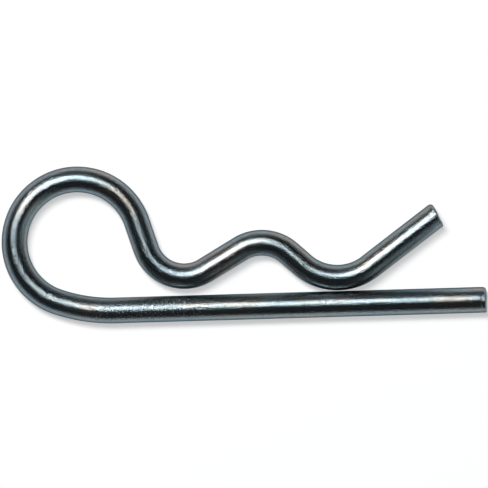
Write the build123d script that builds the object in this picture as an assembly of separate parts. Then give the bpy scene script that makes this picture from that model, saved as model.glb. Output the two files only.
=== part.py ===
from build123d import *
import math
import os

# R-clip (hairpin cotter) bent from one length of round spring wire. Millimetres.
# Origin: where the leg's axis crosses the axis of the locked shaft, in the wire's mid plane.
# +X runs along the leg to its free end, +Y toward the sprung arm, +Z along the shaft's axis.

wire_d = 4.0            # wire diameter
overall_length = 74.3   # outside of the eye to the leg's free end, along X

shaft_d = 16.0          # shaft the clip locks; the leg passes through its cross hole
grip = 0.25             # how far that shaft springs the arm off its resting place

lead_in_r = 25.4        # slow bend from the leg into the eye, to the wire's centreline
eye_x = -28.15          # centre of the finger eye
eye_r = 9.65            # eye bend, to the wire's centreline
eye_lift = 1.0          # how far the eye's lowest point would clear the leg's axis

neck_x = -11.7          # dip behind the seat that closes the eye
neck_r = 6.2
neck_gap = 0.95         # air between the dip and the leg

hump_r = 6.35           # seat over the shaft, to the wire's centreline

pinch_x = 11.85         # dip in front of the seat that rests on the leg
pinch_r = 8.15
pinch_gap = 0.05        # resting contact, kept just open so the wire never meets itself

tip_rise = 36.0         # degrees the guide tip rises from the leg
tip_run = 13.25         # straight length of the guide tip
tip_lean = 10.0         # degrees the sheared end face leans from square

leg_roll = 0.7          # rolled-over edge of the leg's sheared end, on its arm side
leg_roll_offset = 0.15  # how far the rolling is off the wire's centre, which spares the far edge
tip_roll = 0.8          # rolled-over edge of the guide tip's end, on the side away from the leg
tip_roll_offset = 0.25
die_slack = 0.02        # room between the wire and the shape its end is trimmed to

wire_r = wire_d / 2
leg_heading = 180.0     # the wire is followed from the leg's free end toward the eye
ANTICLOCKWISE = 1
CLOCKWISE = -1


def heading_vector(heading):
    """Unit vector along a heading in degrees."""
    angle = math.radians(heading)
    return Vector(math.cos(angle), math.sin(angle))


def contact(peg, heading):
    """Point of a peg's centreline circle where the wire runs along a heading."""
    centre, radius, turn = peg
    return centre + heading_vector(heading - 90) * turn * radius


def run_heading(peg, next_peg):
    """Heading of the straight run that leaves one peg and meets the next."""
    centre, radius, turn = peg
    next_centre, next_radius, next_turn = next_peg
    across = next_centre - centre
    offset = next_turn * next_radius - turn * radius
    run = math.sqrt(max(0.0, across.length ** 2 - offset ** 2))
    return math.degrees(math.atan2(across.Y, across.X) - math.atan2(offset, run))


def bend(peg, heading_in, heading_out):
    """Arc of wire against a peg, from one heading to the next."""
    turn = peg[2]
    swing = (turn * (heading_out - heading_in)) % 360
    halfway = heading_in + turn * swing / 2
    return ThreePointArc(contact(peg, heading_in), contact(peg, halfway), contact(peg, heading_out))


def forming_pegs():
    """Centre, centreline radius and turn of every bend, in order along the wire."""
    eye_y = eye_r + eye_lift
    reach = (lead_in_r - eye_r) ** 2 - (lead_in_r - eye_y) ** 2
    lead_in_x = eye_x + math.sqrt(reach)
    hump_y = shaft_d / 2 - grip + wire_r - hump_r
    return [
        (Vector(lead_in_x, lead_in_r), lead_in_r, CLOCKWISE),
        (Vector(eye_x, eye_y), eye_r, CLOCKWISE),
        (Vector(neck_x, wire_d + neck_gap + neck_r), neck_r, ANTICLOCKWISE),
        (Vector(0, hump_y), hump_r, CLOCKWISE),
        (Vector(pinch_x, wire_d + pinch_gap + pinch_r), pinch_r, ANTICLOCKWISE),
    ]


def leg_free_end():
    """Centre of the leg's end face."""
    return Vector(eye_x - eye_r - wire_r + overall_length, 0)


def tip_end():
    """Centre of the guide tip's end face."""
    return contact(forming_pegs()[-1], tip_rise) + heading_vector(tip_rise) * tip_run


def centreline():
    """Wire's centreline: straight leg, lead-in, eye, neck, hump, pinch and guide tip."""
    pegs = forming_pegs()
    headings = [leg_heading]
    for peg, next_peg in zip(pegs, pegs[1:]):
        headings.append(run_heading(peg, next_peg))
    headings.append(tip_rise)
    path = [Line(leg_free_end(), contact(pegs[0], leg_heading))]
    for index, peg in enumerate(pegs):
        path.append(bend(peg, headings[index], headings[index + 1]))
        if 0 < index < len(pegs) - 1:
            start = contact(peg, headings[index + 1])
            path.append(Line(start, contact(pegs[index + 1], headings[index + 1])))
    spare = heading_vector(tip_rise) * wire_r
    path.append(Line(contact(pegs[-1], tip_rise), tip_end() + spare))
    return Wire(path)


def trimming(face, roll, offset):
    """What a shear takes off the wire: all beyond the face, and a rolled edge toward its X side."""
    billet = Cylinder(wire_r + offset + die_slack, wire_d, align=(Align.CENTER, Align.CENTER, Align.MAX))
    billet = fillet(billet.edges().sort_by(Axis.Z)[-1], roll)
    block = Pos(0, 0, -2 * roll) * Box(2 * wire_d, 2 * wire_d, wire_d + 2 * roll,
                                       align=(Align.CENTER, Align.CENTER, Align.MIN))
    return face * (block - Pos(-offset, 0, 0) * billet)


def leg_trimming():
    """What is sheared off the leg's end, square to the leg."""
    face = Plane(origin=leg_free_end(), x_dir=(0, 1, 0), z_dir=(1, 0, 0))
    return trimming(face, leg_roll, leg_roll_offset)


def tip_trimming():
    """What is sheared off the guide tip's end, leaning so the rolled edge stands furthest out."""
    outward = tip_rise - tip_lean
    face = Plane(origin=tip_end(), x_dir=heading_vector(outward + 90), z_dir=heading_vector(outward))
    return trimming(face, tip_roll, tip_roll_offset)


def spring_wire():
    """Whole clip as one solid."""
    section = Plane(origin=leg_free_end(), z_dir=(-1, 0, 0)) * Circle(wire_r)
    return sweep(section, path=centreline()) - leg_trimming() - tip_trimming()


clip = spring_wire()
clip.label = "spring_wire"
os.makedirs("parts", exist_ok=True)
export_step(clip, "parts/spring_wire.step")
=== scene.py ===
import math

import bpy
import numpy as np
from mathutils import Matrix, Vector, noise


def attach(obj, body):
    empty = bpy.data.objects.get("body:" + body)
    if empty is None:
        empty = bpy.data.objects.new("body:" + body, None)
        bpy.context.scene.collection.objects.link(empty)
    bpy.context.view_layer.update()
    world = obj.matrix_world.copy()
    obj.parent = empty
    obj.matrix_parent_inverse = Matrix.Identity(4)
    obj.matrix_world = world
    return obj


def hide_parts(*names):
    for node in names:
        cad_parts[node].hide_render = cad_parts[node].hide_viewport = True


# R-clip bent from round zinc-plated spring wire, lying flat on a pale studio floor.
# Metres, in the CAD's frame: the leg runs along +X, the sprung arm is on its +Y side.

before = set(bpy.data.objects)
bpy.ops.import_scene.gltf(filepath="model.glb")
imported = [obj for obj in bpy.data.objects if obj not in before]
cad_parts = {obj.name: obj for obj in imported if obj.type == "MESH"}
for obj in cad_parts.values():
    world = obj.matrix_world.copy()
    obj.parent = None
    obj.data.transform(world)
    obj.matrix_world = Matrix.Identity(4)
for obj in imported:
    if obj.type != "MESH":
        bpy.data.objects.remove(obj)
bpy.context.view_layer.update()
MM = 0.001

# The clip, repeating part.py's driving sizes.
WIRE_D = 4.0 * MM
OVERALL_LENGTH = 74.3 * MM
SHAFT_D = 16.0 * MM
GRIP = 0.25 * MM
LEAD_IN_R = 25.4 * MM
EYE_X = -28.15 * MM
EYE_R = 9.65 * MM
EYE_LIFT = 1.0 * MM
NECK_X = -11.7 * MM
NECK_R = 6.2 * MM
NECK_GAP = 0.95 * MM
HUMP_R = 6.35 * MM
PINCH_X = 11.85 * MM
PINCH_R = 8.15 * MM
PINCH_GAP = 0.05 * MM
TIP_RISE = 36.0
TIP_RUN = 13.25 * MM
TIP_LEAN = 10.0
LEG_ROLL = 0.7 * MM
LEG_ROLL_OFFSET = 0.15 * MM
TIP_ROLL = 0.8 * MM
TIP_ROLL_OFFSET = 0.25 * MM
DIE_SLACK = 0.02 * MM
WIRE_R = WIRE_D / 2

# The mesh of the wire.
RING_POINTS = 96
RING_STEP = 0.19 * MM
FINE_STEP = 0.05 * MM   # between rings close to the ends
END_ZONE = 1.5 * MM     # length of wall that is fitted to each end
FACE_RINGS = 30
FACE_SPREAD = 1.6       # crowds a face's rings toward its edge
SKIN = 0.004 * MM       # keeps the finer mesh inside the CAD model's box

# Relief of the wall: drawing ripple, faint facets, rubbed insides of bends, one die ring.
RIPPLE_SIZE = 3.1 * MM
RIPPLE_DEPTH = 0.010 * MM
FACET_SIZE = 0.9 * MM
FACET_DEPTH = 0.004 * MM
RUB_DEPTH = 0.02 * MM
RUB_RADIUS = 7 * MM     # bends this tight or tighter are rubbed in full
DIE_RING_PLACE = 0.72 * MM
DIE_RING_WIDTH = 0.1 * MM
DIE_RING_DEPTH = 0.03 * MM

# Relief of the sheared faces.
RIM_WIDTH = 0.22 * MM   # plating softens this much of the edge
RIM_DEPTH = 0.1 * MM
CUT_EDGE = 0.5 * MM     # where the smooth cut gives way to torn metal
CUT_WANDER = 0.45 * MM
CUT_WANDER_SIZE = 0.7 * MM
CUT_FADE = 1.3 * MM
FACE_DIP = 0.012 * MM
TEAR_SIZE = 0.55 * MM
TEAR_DEPTH = 0.05 * MM
GRIT_SIZE = 0.16 * MM
GRIT_DEPTH = 0.02 * MM
SCOOP_DEPTH = 0.06 * MM

# Camera: straight down, turned so the leg climbs slightly to the right.
VIEW_CENTRE = (-2.55 * MM, 9.63 * MM)
VIEW_WIDTH = 75.0 * MM
VIEW_HEIGHT = 1.0
VIEW_ROLL = 1.66
SENSOR = 36.0
CLIP_RANGE = (0.01, 20.0)

# Studio.
FLOOR_RADIUS = 2.2
FLOOR_SIDES = 128
COVE_HEIGHT = 0.25
COVE_STEPS = 16
FLOOR_Z = -WIRE_R
FLOOR_COLOUR = (0.9, 0.9, 0.9, 1.0)
FLOOR_GLOW = 0.475      # with the lamps' light on it, brings the floor to white
ROOM_COLOUR = (0.85, 0.93, 1.0, 1.0)
ROOM_LEVEL = 0.04

# Zinc plating. Grain scales are in features per metre.
ZINC_BLUE = (0.26, 0.325, 0.365, 1.0)
ZINC_GREY = (0.295, 0.345, 0.36, 1.0)
ZINC_WARM = (0.37, 0.355, 0.335, 1.0)
GRAZING_TINT = (0.12, 0.14, 0.16, 1.0)
CRYSTAL_SCALE = 5200.0
CRYSTAL_DEPTH = 0.045 * MM
PEBBLE_SCALE = 3600.0
PEBBLE_DEPTH = 0.036 * MM
DRAWN_LINE_SCALE = 6500.0
DRAWN_LINE_STRETCH = 0.02
DRAWN_LINE_DEPTH = 0.02 * MM
TINT_SCALE = 420.0
TINT_STRETCH = 0.22
HANDLING_SCALE = 3000.0
SPECKLE = (0.56, 1.14)  # how far a crystal darkens or brightens the colour
ROUGHNESS = (0.07, 0.20)
DULLING = 0.09          # added roughness along the leg's inner stretch
DULL_STARTS = (30 * MM, 46 * MM)    # along the wire from the leg's free end
DULL_ENDS = (60 * MM, 74 * MM)


def along(heading):
    """Unit vector in the clip's plane along a heading in degrees."""
    angle = math.radians(heading)
    return np.array([math.cos(angle), math.sin(angle)])


def contact(peg, heading):
    """Point of a peg's centreline circle where the wire runs along a heading."""
    centre, radius, turn = peg
    return centre + along(heading - 90) * turn * radius


def run_heading(peg, next_peg):
    """Heading of the straight run that leaves one peg and meets the next."""
    across = next_peg[0] - peg[0]
    offset = next_peg[2] * next_peg[1] - peg[2] * peg[1]
    run = math.sqrt(max(0.0, across @ across - offset * offset))
    return math.degrees(math.atan2(across[1], across[0]) - math.atan2(offset, run))


def forming_pegs():
    """Centre, centreline radius and turn of every bend, in order along the wire."""
    eye_y = EYE_R + EYE_LIFT
    lead_in_x = EYE_X + math.sqrt((LEAD_IN_R - EYE_R) ** 2 - (LEAD_IN_R - eye_y) ** 2)
    hump_y = SHAFT_D / 2 - GRIP + WIRE_R - HUMP_R
    return [
        (np.array([lead_in_x, LEAD_IN_R]), LEAD_IN_R, -1),
        (np.array([EYE_X, eye_y]), EYE_R, -1),
        (np.array([NECK_X, WIRE_D + NECK_GAP + NECK_R]), NECK_R, 1),
        (np.array([0.0, hump_y]), HUMP_R, -1),
        (np.array([PINCH_X, WIRE_D + PINCH_GAP + PINCH_R]), PINCH_R, 1),
    ]


def run_stations(start, end, heading, step=RING_STEP):
    """Stations along a straight run: place, heading and bend (1 over radius, signed)."""
    count = max(2, round(np.linalg.norm(end - start) / step))
    return [(start + (end - start) * i / count, heading, 0.0) for i in range(count)]


def bend_stations(peg, heading_in, heading_out):
    """Stations round a peg."""
    turn = peg[2]
    swing = (turn * (heading_out - heading_in)) % 360
    count = max(2, round(math.radians(swing) * peg[1] / RING_STEP))
    headings = [heading_in + turn * swing * i / count for i in range(count)]
    return [(contact(peg, heading), heading, turn / peg[1]) for heading in headings]


def wire_stations():
    """Every station from the leg's free end to the guide tip's end."""
    pegs = forming_pegs()
    headings = [180.0]
    headings += [run_heading(peg, next_peg) for peg, next_peg in zip(pegs, pegs[1:])]
    headings.append(TIP_RISE)
    free_end = np.array([EYE_X - EYE_R - WIRE_R + OVERALL_LENGTH, 0.0])
    inner = free_end + along(180.0) * END_ZONE
    stations = run_stations(free_end, inner, 180.0, FINE_STEP)
    stations += run_stations(inner, contact(pegs[0], 180.0), 180.0)
    for index, peg in enumerate(pegs):
        stations += bend_stations(peg, headings[index], headings[index + 1])
        if 0 < index < len(pegs) - 1:
            out = headings[index + 1]
            stations += run_stations(contact(peg, out), contact(pegs[index + 1], out), out)
    start = contact(pegs[-1], TIP_RISE)
    end = start + along(TIP_RISE) * TIP_RUN
    inner = end - along(TIP_RISE) * END_ZONE
    stations += run_stations(start, inner, TIP_RISE)
    stations += run_stations(inner, end, TIP_RISE, FINE_STEP)
    stations.append((end, TIP_RISE, 0.0))
    return stations


def grain(x, y, z, size, seed):
    """Smooth noise from -1 to 1 with features of about that size, on the straight wire."""
    return noise.noise(Vector((x / size + seed, y / size, z / size)))


def surface_dip(x, y, s, theta, curve):
    """How far the drawn and bent surface lies below the true cylinder."""
    ripple = 0.5 + 0.5 * grain(x * 0.7, y * 0.7, s, RIPPLE_SIZE, seed=11.0)
    facets = 0.5 + 0.5 * grain(x, y, s, FACET_SIZE, seed=37.0)
    inside = max(0.0, math.copysign(math.cos(theta), curve)) ** 6 if curve else 0.0
    rubbed = inside * min(1.0, abs(curve) * RUB_RADIUS)
    ring = math.exp(-((s - DIE_RING_PLACE) / DIE_RING_WIDTH) ** 2)
    return RIPPLE_DEPTH * ripple + FACET_DEPTH * facets + RUB_DEPTH * rubbed + DIE_RING_DEPTH * ring


class WireEnd:
    """A sheared end: a flat face, leaning or square, with one edge rolled over."""

    def __init__(self, roll, offset, lean, seed):
        self.roll = roll
        self.offset = offset
        self.lean = math.tan(math.radians(lean))
        self.seed = seed

    def depth(self, across, up):
        """How far the end lies back at a place; across is positive toward the rolled side."""
        wall = WIRE_R + self.offset + DIE_SLACK - math.hypot(across + self.offset, up)
        rolled = 0.0
        if wall < self.roll:
            rolled = self.roll - math.sqrt(max(0.0, self.roll ** 2 - (self.roll - wall) ** 2))
        rim = max(0.0, math.hypot(across, up) - (WIRE_R - RIM_WIDTH)) / RIM_WIDTH
        return rolled + RIM_DEPTH * rim ** 2.5 - self.lean * across + self.fracture(across, up)

    def fracture(self, across, up):
        """Relief of the face: smooth where the shear cut, torn and slightly hollow beyond."""
        edge = CUT_EDGE + CUT_WANDER * grain(0.0, up, 0.0, CUT_WANDER_SIZE, self.seed + 9)
        torn = min(1.0, max(0.0, (edge - across) / CUT_FADE))
        torn = torn * torn * (3 - 2 * torn)
        tear = 0.5 + 0.5 * grain(across, up, 0.0, TEAR_SIZE, self.seed)
        grit = 0.5 + 0.5 * grain(across, up, 0.0, GRIT_SIZE, self.seed + 5)
        scoop = max(0.0, 1 - (math.hypot(across, up) / WIRE_R) ** 2)
        return FACE_DIP + torn * (TEAR_DEPTH * tear + GRIT_DEPTH * grit + SCOOP_DEPTH * scoop)


LEG_END = WireEnd(LEG_ROLL, LEG_ROLL_OFFSET, lean=0.0, seed=3.0)
TIP_END = WireEnd(TIP_ROLL, TIP_ROLL_OFFSET, lean=TIP_LEAN, seed=8.0)


def wire_mesh():
    """The whole wire as rings of points, closed by its two sheared faces."""
    stations = wire_stations()
    places = np.array([station[0] for station in stations])
    steps = np.linalg.norm(np.diff(places, axis=0), axis=1)
    reach = np.concatenate([[0.0], np.cumsum(steps)])
    total = reach[-1]
    points = []
    drawn = []

    def add_point(index, across, up, s, pull):
        """One point at a place across and above the centreline, pulled back along the wire."""
        place, heading, _ = stations[index]
        side = along(heading + 90)
        flat = place + side * across + along(heading) * pull
        points.append((flat[0], flat[1], up))
        drawn.append((across, up, s))

    def add_face(index, end, flip, inward):
        """Rings of one end face, from the centre out or from the rim in."""
        rows = [1 - (1 - (k + 1) / FACE_RINGS) ** FACE_SPREAD for k in range(FACE_RINGS - 1)]
        if inward:
            rows.reverse()
        for row in rows:
            for k in range(RING_POINTS):
                theta = 2 * math.pi * k / RING_POINTS
                radius = row * (WIRE_R - SKIN)
                across = radius * math.cos(theta)
                up = radius * math.sin(theta)
                depth = end.depth(flip * across, up)
                add_point(index, across, up, reach[index], depth if index == 0 else -depth)

    def add_wall():
        """Rings of the wall, the outermost of which follow the ends' edges."""
        for index, (_, _, curve) in enumerate(stations):
            s = reach[index]
            for k in range(RING_POINTS):
                theta = 2 * math.pi * k / RING_POINTS
                radius = WIRE_R - SKIN
                x = radius * math.cos(theta)
                y = radius * math.sin(theta)
                radius -= surface_dip(x, y, s, theta, curve)
                x = radius * math.cos(theta)
                y = radius * math.sin(theta)
                pull = 0.0
                if s < END_ZONE:
                    pull = LEG_END.depth(-x, y) * (1 - s / END_ZONE)
                if total - s < END_ZONE:
                    pull = -TIP_END.depth(x, y) * (1 - (total - s) / END_ZONE)
                add_point(index, x, y, s, pull)

    last = len(stations) - 1
    add_point(0, 0.0, 0.0, 0.0, LEG_END.depth(0.0, 0.0))
    add_face(0, LEG_END, -1, False)
    add_wall()
    add_face(last, TIP_END, 1, True)
    add_point(last, 0.0, 0.0, total, -TIP_END.depth(0.0, 0.0))
    return points, drawn


def ring_faces(count):
    """Quads between rings, and a fan on the single point at each end."""
    rings = (count - 2) // RING_POINTS
    faces = []
    for k in range(RING_POINTS):
        faces.append((0, 1 + k, 1 + (k + 1) % RING_POINTS))
    for ring in range(rings - 1):
        first = 1 + ring * RING_POINTS
        for k in range(RING_POINTS):
            after = (k + 1) % RING_POINTS
            faces.append((first + k, first + RING_POINTS + k,
                          first + RING_POINTS + after, first + after))
    first = 1 + (rings - 1) * RING_POINTS
    for k in range(RING_POINTS):
        faces.append((first + k, count - 1, first + (k + 1) % RING_POINTS))
    return faces


def build_wire():
    """The detailed wire object, with its place on the straight wire kept for the material."""
    points, drawn = wire_mesh()
    mesh = bpy.data.meshes.new("spring_wire_mesh")
    mesh.from_pydata(points, [], ring_faces(len(points)))
    mesh.polygons.foreach_set("use_smooth", [True] * len(mesh.polygons))
    attribute = mesh.attributes.new("drawn_place", "FLOAT_VECTOR", "POINT")
    attribute.data.foreach_set("vector", np.array(drawn, dtype=np.float32).ravel())
    mesh.validate()
    mesh.update()
    wire = bpy.data.objects.new("wire_clip", mesh)
    bpy.context.scene.collection.objects.link(wire)
    return wire


class Graph:
    """Short helper for wiring shader nodes."""

    def __init__(self, material):
        material.use_nodes = True
        self.nodes = material.node_tree.nodes
        self.links = material.node_tree.links
        self.nodes.clear()

    def add(self, kind, **values):
        """A node, with its properties set by name."""
        node = self.nodes.new(kind)
        for name, value in values.items():
            setattr(node, name, value)
        return node

    def join(self, source, output, target, name):
        """Links an output to an input."""
        self.links.new(source.outputs[output], target.inputs[name])


def stretched(graph, source, along_wire):
    """A place vector scaled along the wire only."""
    node = graph.add("ShaderNodeMapping", vector_type="POINT")
    node.inputs["Scale"].default_value = (1.0, 1.0, along_wire)
    graph.join(source, "Vector", node, "Vector")
    return node


def noise_field(graph, source, scale, detail, roughness):
    """A noise texture over a place vector."""
    node = graph.add("ShaderNodeTexNoise")
    node.inputs["Scale"].default_value = scale
    node.inputs["Detail"].default_value = detail
    node.inputs["Roughness"].default_value = roughness
    graph.join(source, "Vector", node, "Vector")
    return node


def remap(graph, source, output, old, new):
    """A value moved from its old range to a new one, clamped."""
    node = graph.add("ShaderNodeMapRange")
    names = ("From Min", "From Max", "To Min", "To Max")
    for name, value in zip(names, (*old, *new)):
        node.inputs[name].default_value = value
    graph.join(source, output, node, "Value")
    return node


def bumped(graph, field, strength, distance, under=None):
    """A bump from a noise field, over another bump where one is given."""
    node = graph.add("ShaderNodeBump")
    node.inputs["Strength"].default_value = strength
    node.inputs["Distance"].default_value = distance
    graph.join(field, "Fac", node, "Height")
    if under:
        graph.join(under, "Normal", node, "Normal")
    return node


def zinc_colour(graph, place, crystals):
    """Blue-grey to warm passivation tint, speckled by the crystals."""
    tint = noise_field(graph, stretched(graph, place, TINT_STRETCH), TINT_SCALE, 2.0, 0.5)
    ramp = graph.add("ShaderNodeValToRGB")
    cool, warm = ramp.color_ramp.elements
    cool.position = 0.36
    cool.color = ZINC_BLUE
    warm.position = 0.66
    warm.color = ZINC_WARM
    ramp.color_ramp.elements.new(0.53).color = ZINC_GREY
    graph.join(tint, "Fac", ramp, "Fac")
    facets = remap(graph, crystals, "Fac", (0.3, 0.7), SPECKLE)
    speckled = graph.add("ShaderNodeVectorMath", operation="SCALE")
    graph.join(ramp, "Color", speckled, "Vector")
    graph.join(facets, "Result", speckled, "Scale")
    return speckled


def zinc_roughness(graph, place):
    """Uneven gloss, duller along the inner stretch of the leg."""
    handling = noise_field(graph, place, HANDLING_SCALE, 3.0, 0.7)
    gloss = remap(graph, handling, "Fac", (0.32, 0.68), ROUGHNESS)
    reach = graph.add("ShaderNodeSeparateXYZ")
    graph.join(place, "Vector", reach, "Vector")
    rising = remap(graph, reach, "Z", DULL_STARTS, (0.0, DULLING))
    falling = remap(graph, reach, "Z", DULL_ENDS, (1.0, 0.0))
    dulled = graph.add("ShaderNodeMath", operation="MULTIPLY_ADD")
    graph.join(rising, "Result", dulled, 0)
    graph.join(falling, "Result", dulled, 1)
    graph.join(gloss, "Result", dulled, 2)
    return dulled


def zinc_relief(graph, place, crystals):
    """Drawing lines, pebble and crystals, as one bump over another."""
    drawn = stretched(graph, place, DRAWN_LINE_STRETCH)
    lines = noise_field(graph, drawn, DRAWN_LINE_SCALE, 2.0, 0.6)
    pebble = noise_field(graph, place, PEBBLE_SCALE, 2.0, 0.6)
    relief = bumped(graph, lines, 0.5, DRAWN_LINE_DEPTH)
    relief = bumped(graph, pebble, 0.8, PEBBLE_DEPTH, relief)
    return bumped(graph, crystals, 1.0, CRYSTAL_DEPTH, relief)


def zinc_material():
    """Bright zinc plating with a fine crystal grain, drawing lines and a faint tint."""
    material = bpy.data.materials.new("zinc_plated_steel")
    graph = Graph(material)
    output = graph.add("ShaderNodeOutputMaterial")
    shader = graph.add("ShaderNodeBsdfPrincipled")
    shader.inputs["Metallic"].default_value = 1.0
    shader.inputs["Specular Tint"].default_value = GRAZING_TINT
    place = graph.add("ShaderNodeAttribute", attribute_name="drawn_place")
    crystals = noise_field(graph, place, CRYSTAL_SCALE, 3.0, 0.65)
    graph.join(zinc_colour(graph, place, crystals), "Vector", shader, "Base Color")
    graph.join(zinc_roughness(graph, place), "Value", shader, "Roughness")
    graph.join(zinc_relief(graph, place, crystals), "Normal", shader, "Normal")
    graph.join(shader, "BSDF", output, "Surface")
    return material


def floor_material():
    """Pale matt sweep that reads white to the camera and in the metal, and keeps the shadow."""
    material = bpy.data.materials.new("studio_floor")
    graph = Graph(material)
    output = graph.add("ShaderNodeOutputMaterial")
    matt = graph.add("ShaderNodeBsdfDiffuse")
    matt.inputs["Color"].default_value = FLOOR_COLOUR
    glow = graph.add("ShaderNodeEmission")
    rays = graph.add("ShaderNodeLightPath")
    seen = graph.add("ShaderNodeMath", operation="MAXIMUM")
    graph.join(rays, "Is Camera Ray", seen, 0)
    graph.join(rays, "Is Glossy Ray", seen, 1)
    also = graph.add("ShaderNodeMath", operation="MAXIMUM")
    graph.join(seen, "Value", also, 0)
    graph.join(rays, "Is Transmission Ray", also, 1)
    level = graph.add("ShaderNodeMath", operation="MULTIPLY")
    level.inputs[1].default_value = FLOOR_GLOW
    graph.join(also, "Value", level, 0)
    graph.join(level, "Value", glow, "Strength")
    both = graph.add("ShaderNodeAddShader")
    graph.join(matt, "BSDF", both, 0)
    graph.join(glow, "Emission", both, 1)
    graph.join(both, "Shader", output, "Surface")
    return material


def build_floor():
    """Flat round floor that curves up at its far edge."""
    profile = [(0.0, 0.0), (FLOOR_RADIUS - COVE_HEIGHT, 0.0)]
    for step in range(1, COVE_STEPS + 1):
        angle = math.radians(90 * step / COVE_STEPS)
        profile.append((FLOOR_RADIUS - COVE_HEIGHT + COVE_HEIGHT * math.sin(angle),
                        COVE_HEIGHT * (1 - math.cos(angle))))
    points = [(0.0, 0.0, FLOOR_Z)]
    for radius, rise in profile[1:]:
        for k in range(FLOOR_SIDES):
            angle = 2 * math.pi * k / FLOOR_SIDES
            points.append((radius * math.cos(angle), radius * math.sin(angle), FLOOR_Z + rise))
    faces = [(0, 1 + k, 1 + (k + 1) % FLOOR_SIDES) for k in range(FLOOR_SIDES)]
    for ring in range(len(profile) - 2):
        inner = 1 + ring * FLOOR_SIDES
        outer = inner + FLOOR_SIDES
        for k in range(FLOOR_SIDES):
            after = (k + 1) % FLOOR_SIDES
            faces.append((inner + k, outer + k, outer + after, inner + after))
    mesh = bpy.data.meshes.new("studio_floor_mesh")
    mesh.from_pydata(points, [], faces)
    mesh.polygons.foreach_set("use_smooth", [True] * len(faces))
    mesh.materials.append(floor_material())
    floor = bpy.data.objects.new("studio_floor", mesh)
    bpy.context.scene.collection.objects.link(floor)


def softbox(name, zenith, azimuth, distance, size, run, radiance, colour):
    """Area light seen from the origin at those angles; its second side runs along an azimuth."""
    tilt = math.radians(zenith)
    turn = math.radians(azimuth)
    away = Vector((math.sin(tilt) * math.cos(turn), math.sin(tilt) * math.sin(turn),
                   math.cos(tilt)))
    level = Vector((math.cos(math.radians(run)), math.sin(math.radians(run)), 0.0))
    second = (level - away * level.dot(away)).normalized()
    first = second.cross(away)
    light = bpy.data.lights.new(name, "AREA")
    light.shape = "RECTANGLE"
    light.size, light.size_y = size
    light.energy = radiance * math.pi * size[0] * size[1]
    light.color = colour
    holder = bpy.data.objects.new(name, light)
    facing = Matrix((first, second, away)).transposed().to_4x4()
    holder.matrix_world = Matrix.Translation(away * distance) @ facing
    holder.visible_camera = False
    bpy.context.scene.collection.objects.link(holder)


def build_lights():
    """A small soft key up and to the left, broad weak panels, and a dim room."""
    softbox("key", zenith=23.0, azimuth=120.0, distance=1.0, size=(0.24, 0.42), run=156.0,
            radiance=18.0, colour=(1.0, 1.0, 1.0))
    softbox("top_panel", zenith=50.0, azimuth=112.0, distance=0.9, size=(0.75, 0.54), run=112.0,
            radiance=0.22, colour=(0.93, 0.97, 1.0))
    softbox("right_panel", zenith=66.0, azimuth=-28.0, distance=0.9, size=(0.75, 0.54), run=-28.0,
            radiance=0.55, colour=(0.93, 1.0, 0.98))
    world = bpy.data.worlds.new("studio_room")
    bpy.context.scene.world = world
    world.use_nodes = True
    background = world.node_tree.nodes["Background"]
    background.inputs["Color"].default_value = ROOM_COLOUR
    background.inputs["Strength"].default_value = ROOM_LEVEL


def build_camera():
    """Camera straight above the clip."""
    data = bpy.data.cameras.new("camera")
    data.sensor_width = SENSOR
    data.lens = SENSOR * VIEW_HEIGHT / VIEW_WIDTH
    data.clip_start, data.clip_end = CLIP_RANGE
    camera = bpy.data.objects.new("camera", data)
    camera.location = (VIEW_CENTRE[0], VIEW_CENTRE[1], VIEW_HEIGHT)
    camera.rotation_euler = (0.0, 0.0, -math.radians(VIEW_ROLL))
    bpy.context.scene.collection.objects.link(camera)
    bpy.context.scene.camera = camera


wire = build_wire()
wire.data.materials.append(zinc_material())
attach(wire, "root")
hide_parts("spring_wire")
build_floor()
build_lights()
build_camera()
bpy.context.scene.view_settings.view_transform = "Standard"
